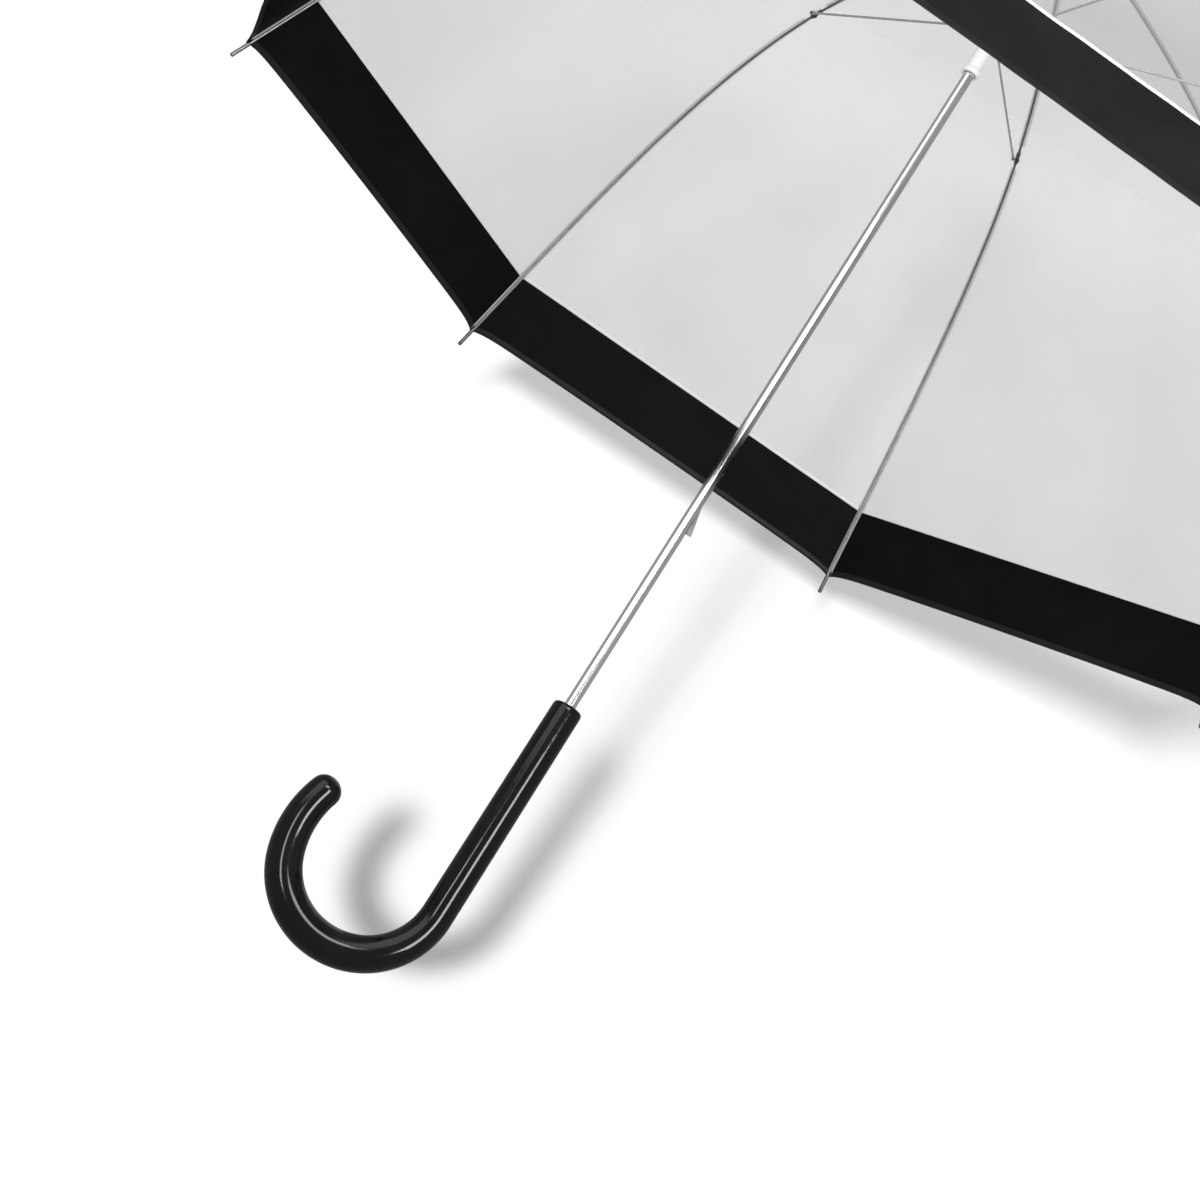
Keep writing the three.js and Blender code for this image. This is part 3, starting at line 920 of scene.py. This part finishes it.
def catch(node, upward, azimuth):
    """A bent strip with a thumb ramp and a square shoulder."""
    low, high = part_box(node)
    shoulder = high.z if upward else low.z
    length = CATCH_LENGTH / MM
    outline = [
        (-2.2, length), (-1.5, length), (-0.6, 44), (1.4, 32), (3.2, 21), (4.9, 12.5), (6.3, 5.6), (7.0, 2.4),
        (7.2, 1.0), (7.05, 0.35), (6.7, 0), (2, 0), (2, 8), (1.7, 12), (-2.2, 44),
    ]
    sign = -1 if upward else 1

    def build(work):
        half = CATCH_WIDTH / 2
        points = [(x * MM, shoulder + sign * z * MM) for x, z in outline]
        front = [work.verts.new((x, -half, z)) for x, z in points]
        back = [work.verts.new((x, half, z)) for x, z in points]
        work.faces.new(front)
        work.faces.new(reversed(back))
        count = len(points)
        for i in range(count):
            j = (i + 1) % count
            work.faces.new((front[j], front[i], back[i], back[j]))
        bmesh.ops.recalc_face_normals(work, faces=work.faces)
        bmesh.ops.bevel(
            work, geom=list(work.edges), offset=0.12 * MM, segments=2, affect="EDGES", clamp_overlap=True,
        )
    strip = mesh_from("strip", build)
    strip.uv_layers.new(name="along")
    piece(f"{node}_strip", strip, SPRING, node, [node], azimuth)


def washer():
    _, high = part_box("canopy_washer")
    r, z = high.x, high.z
    outline = [
        (BORE_R, z - 1.7 * MM), (13 * MM, z - 1.7 * MM), (r - 0.6 * MM, z - 3.7 * MM), (r, z - 3.1 * MM),
        (r - 1.6 * MM, z - 2.2 * MM), (15 * MM, z - 0.7 * MM), (13 * MM, z - 0.25 * MM),
        (12.4 * MM, z - 0.6 * MM), (11.8 * MM, z - 0.1 * MM), (9.5 * MM, z), (BORE_R, z),
    ]
    piece(
        "washer_cap", lathe("washer", rounded(outline, 0.35 * MM), 96, closed=True),
        BLACK_SATIN, "shaft", ["canopy_washer"], smooth=40,
    )


def ferrule():
    low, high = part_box("ferrule")
    base, tip = low.z / MM, high.z / MM
    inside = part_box("shaft_tube")[1].z / MM + 0.3
    bore = BORE_R / MM
    outline = [
        (0, tip), (1.5, tip), (2.6, tip), (3.3, tip - 0.3), (3.75, tip - 1.5), (4.1, tip - 4),
        (3.95, tip - 4.5), (3.95, tip - 4.9), (4.25, tip - 5.4), (5.0, base + 30), (5.45, base + 20),
        (5.7, base + 9), (5.9, base + 6.4), (6.3, base + 5.8), (6.3, base + 5.0), (6.1, base + 4.6),
        (7.2, base + 3.4), (7.85, base + 2.0), (8.0, base + 1.0), (7.9, base + 0.3), (7.6, base),
        (bore, base), (bore, inside), (0, inside),
    ]
    profile = [(r * MM, z * MM) for r, z in outline]
    piece(
        "ferrule_tip", lathe("ferrule", profile, 72), BLACK, "shaft", ["ferrule"], smooth=32,
    )


# Handle

def handle():
    """A straight grip and a crook, thickest in the bend, with a bore for the shaft at its top."""
    sides = 64
    top = HANDLE_TOP / MM
    stations = [
        (0, top - 7, 4.0), (0, top - 0.7, 4.05), (0, top - 0.2, 4.3), (0, top, 4.8), (0, top, 8.0),
        (0, top - 0.25, 8.7), (0, top - 0.8, 9.25), (0, top - 1.7, 9.6), (0, top - 3.0, 9.7),
    ]
    mouth = len(stations)
    straight = HANDLE_STRAIGHT / MM
    stations += [(0, top - straight * t, 9.7 + 0.5 * t) for t in steps(0.03, 0.98, 24)]
    crook = CROOK_R / MM
    centre = top - straight
    count = 84
    for i in range(count + 1):
        degrees = CROOK_ANGLE * i / count
        opened = max(0, degrees - CROOK_OPENS_AT) / (CROOK_ANGLE - CROOK_OPENS_AT)
        radius = crook * (1 + CROOK_OPENING * opened ** 2)
        swell = math.sin(math.pi * i / count)
        a = math.radians(degrees)
        stations.append((radius * math.cos(a) - crook, centre - radius * math.sin(a), 10.2 + 1.5 * swell))
    (bx, bz, _), (ex, ez, end) = stations[-2:]
    way = Vector((ex - bx, ez - bz)).normalized()
    for turn in range(8, 90, 8):
        ahead = end * math.sin(math.radians(turn)) * 0.92
        stations.append((ex + way.x * ahead, ez + way.y * ahead, end * math.cos(math.radians(turn))))

    def build(work):
        rings = []
        last = len(stations) - 1
        for i, (x, z, radius) in enumerate(stations):
            before, after = stations[max(i - 1, mouth - 1)], stations[min(max(i, mouth - 1) + 1, last)]
            along = Vector((after[0] - before[0], after[1] - before[1])).normalized()
            if i < mouth:
                along = Vector((0, -1))
            ring = []
            for s in range(sides):
                a = 2 * math.pi * s / sides
                out = radius * math.cos(a)
                ring.append(Vector((x + along.y * out, radius * math.sin(a), z - along.x * out)) * MM)
            rings.append(ring)
        skin(work, rings)
    grip = mesh_from("handle", build)
    piece("crook_grip", grip, BLACK, "shaft", ["crook_handle"], smooth=40)


# Studio

WORLD_CAMERA = 1.03
WORLD_DIFFUSE = 0.95
WORLD_GLOSSY = 0.34
CLEAR_PIECES = ("film_", "border_weld_", "seam_")
BORDER_PIECES = ("border_band_", "hem_fold_")
SHADELESS_GORES = "34567"               # gores whose border casts no shadow on the backdrop
HANDLE_PIECES = ("crook_grip", "shaft_tube_chromed", "bottom_catch_strip")
SHADOW_WAY = Vector((0.110, 0.975, 0.190))
WIDE_SUN = (6.5, 7.6)                   # strength, degrees across; shaded by all but what casts_no_shadow names
NARROW_SUN = (4.2, 3.8)                 # shaded by the HANDLE_PIECES alone
BACKDROP = (0.295, 0.02)                # matte share, glow
FLOOR = (0.40, 0.66)
FLOOR_Z = -0.42
FLOOR_REACH = 12


def world():
    made = bpy.data.worlds.new("studio")
    bpy.context.scene.world = made
    made.use_nodes = True
    nodes, links = made.node_tree.nodes, made.node_tree.links
    path = nodes.new("ShaderNodeLightPath")
    output = nodes["World Output"]
    seen = nodes["Background"]
    seen.inputs["Strength"].default_value = WORLD_CAMERA
    around = nodes.new("ShaderNodeBackground")
    around.inputs["Strength"].default_value = WORLD_DIFFUSE
    mirrored = nodes.new("ShaderNodeBackground")
    mirrored.inputs["Strength"].default_value = WORLD_GLOSSY
    for background in (seen, around, mirrored):
        background.inputs["Color"].default_value = (1, 1, 1, 1)
    glossy = nodes.new("ShaderNodeMixShader")
    whole = nodes.new("ShaderNodeMixShader")
    links.new(path.outputs["Is Glossy Ray"], glossy.inputs["Fac"])
    links.new(around.outputs[0], glossy.inputs[1])
    links.new(mirrored.outputs[0], glossy.inputs[2])
    links.new(path.outputs["Is Camera Ray"], whole.inputs["Fac"])
    links.new(glossy.outputs[0], whole.inputs[1])
    links.new(seen.outputs[0], whole.inputs[2])
    links.new(whole.outputs[0], output.inputs["Surface"])


def light(name, kind, place, towards, energy):
    data = bpy.data.lights.new(name, kind)
    data.energy = energy
    made = bpy.data.objects.new(name, data)
    bpy.context.scene.collection.objects.link(made)
    way = (Vector(towards) - Vector(place)).normalized()
    made.location = place
    made.rotation_mode = "QUATERNION"
    made.rotation_quaternion = way.to_track_quat("-Z", "Y")
    made.visible_camera = False
    return made


def softbox(name, place, towards, radiance, wide, tall, unlit):
    """A rectangular light whose face has the given radiance; it leaves the 'unlit' pieces alone."""
    made = light(name, "AREA", place, towards, radiance * math.pi * wide * tall)
    made.data.shape = "RECTANGLE"
    made.data.size = wide
    made.data.size_y = tall
    made.light_linking.receiver_collection = unlit


def stage_material(name, look, one_sided):
    """Matte white; a one-sided sheet is clear from behind, so that it never hides the object."""
    white, shine = look
    material = bpy.data.materials.new(name)
    material.use_nodes = True
    nodes, links = material.node_tree.nodes, material.node_tree.links
    nodes.remove(nodes["Principled BSDF"])
    matte = nodes.new("ShaderNodeBsdfDiffuse")
    matte.inputs["Color"].default_value = (white, white, white, 1)
    glow = nodes.new("ShaderNodeEmission")
    glow.inputs["Strength"].default_value = shine
    both = nodes.new("ShaderNodeAddShader")
    links.new(matte.outputs[0], both.inputs[0])
    links.new(glow.outputs[0], both.inputs[1])
    surface = both.outputs[0]
    if one_sided:
        clear = nodes.new("ShaderNodeBsdfTransparent")
        side = nodes.new("ShaderNodeNewGeometry").outputs["Backfacing"]
        pick = nodes.new("ShaderNodeMixShader")
        links.new(side, pick.inputs["Fac"])
        links.new(surface, pick.inputs[1])
        links.new(clear.outputs[0], pick.inputs[2])
        surface = pick.outputs[0]
    links.new(surface, nodes["Material Output"].inputs["Surface"])
    return material


def stage_sheet(name, corners, material):
    mesh = bpy.data.meshes.new(name)
    mesh.from_pydata(corners, [], [(0, 1, 2, 3)])
    mesh.materials.append(material)
    made = bpy.data.objects.new(name, mesh)
    bpy.context.scene.collection.objects.link(made)
    made.visible_shadow = False
    made.visible_glossy = False
    made.visible_diffuse = False
    return made


def linked(name, members, state):
    """A light's list of the pieces that it lights, or leaves out."""
    made = bpy.data.collections.new(name)
    for member in members:
        made.objects.link(member)
    for entry in made.collection_objects:
        entry.light_linking.link_state = state
    return made


def shadow_sun(name, size, sheets, pieces, state):
    """A sun for the sheets only. INCLUDE: the pieces alone shade it. EXCLUDE: all but the pieces do."""
    strength, angle = size
    aim = Vector((0, 0, 0.25))
    sun = light(name, "SUN", aim - SHADOW_WAY * 3, aim, strength)
    sun.data.angle = math.radians(angle)
    sun.light_linking.receiver_collection = linked(f"lit_by_{name}", sheets, "INCLUDE")
    sun.light_linking.blocker_collection = linked(f"shading_{name}", pieces, state)


def casts_no_shadow(made):
    border = made.name.startswith(BORDER_PIECES) and made.name[-1] in SHADELESS_GORES
    return border or made.name.startswith(CLEAR_PIECES)


def studio():
    """A leaning backdrop and a floor, two suns that light only those, and soft boxes for the object."""
    clear = [made for made in bpy.context.scene.objects if casts_no_shadow(made)]
    handle_pieces = [bpy.data.objects[name] for name in HANDLE_PIECES]
    world()
    near, far = Vector((0, 0.24, -0.15)), Vector((0, 0.53, 0.38))
    lean = (far - near).normalized()
    middle = near + lean * 0.35
    wide, tall = 1.3, 1.0
    backdrop = stage_sheet("backdrop", [
        middle + Vector((-wide, 0, 0)) - lean * 0.62,
        middle + Vector((wide, 0, 0)) - lean * 0.62,
        middle + Vector((wide, 0, 0)) + lean * tall,
        middle + Vector((-wide, 0, 0)) + lean * tall,
    ], stage_material("backdrop", BACKDROP, one_sided=True))
    corners = ((-1, -1), (1, -1), (1, 1), (-1, 1))
    floor = stage_sheet(
        "floor", [(x * FLOOR_REACH, y * FLOOR_REACH, FLOOR_Z) for x, y in corners],
        stage_material("floor", FLOOR, one_sided=False),
    )
    sheets = (backdrop, floor)
    shadow_sun("wide_sun", WIDE_SUN, sheets, clear, "EXCLUDE")
    shadow_sun("narrow_sun", NARROW_SUN, sheets, handle_pieces, "INCLUDE")
    unlit = linked("unlit_by_boxes", sheets, "EXCLUDE")
    softbox("right_strip", (0.72, -1.35, 0.0), (0, 0, 0), 24, 0.36, 0.74, unlit)
    softbox("left_strip", (-0.60, -1.42, -0.03), (0, 0, -0.05), 16, 0.20, 0.55, unlit)
    softbox("key", (0.10, -1.95, 0.98), (0, 0, 0.1), 14, 0.9, 0.55, unlit)
    softbox("left_panel", (-0.95, -1.25, 1.15), (0, 0, 0.45), 2.2, 1.4, 1.6, unlit)
    softbox("back_panel", (0.3, 1.3, 2.0), (0, 0, 0.4), 1.0, 1.6, 1.6, unlit)
    bpy.context.scene.view_settings.view_transform = "Standard"
    bpy.context.scene.cycles.transparent_max_bounces = 32


canopy()
for k in range(RIB_COUNT):
    rib_azimuth = FIRST_RIB + 2 * k * GORE_HALF
    upper_rib(k + 1, rib_azimuth)
    lower_rib(k + 1, rib_azimuth)
    stretcher(k + 1, rib_azimuth)
runner()
notch()
shaft_tube()
catch("bottom_catch", False, 0)
catch("top_catch", True, math.pi / 2)
ferrule()
washer()
handle()
studio()
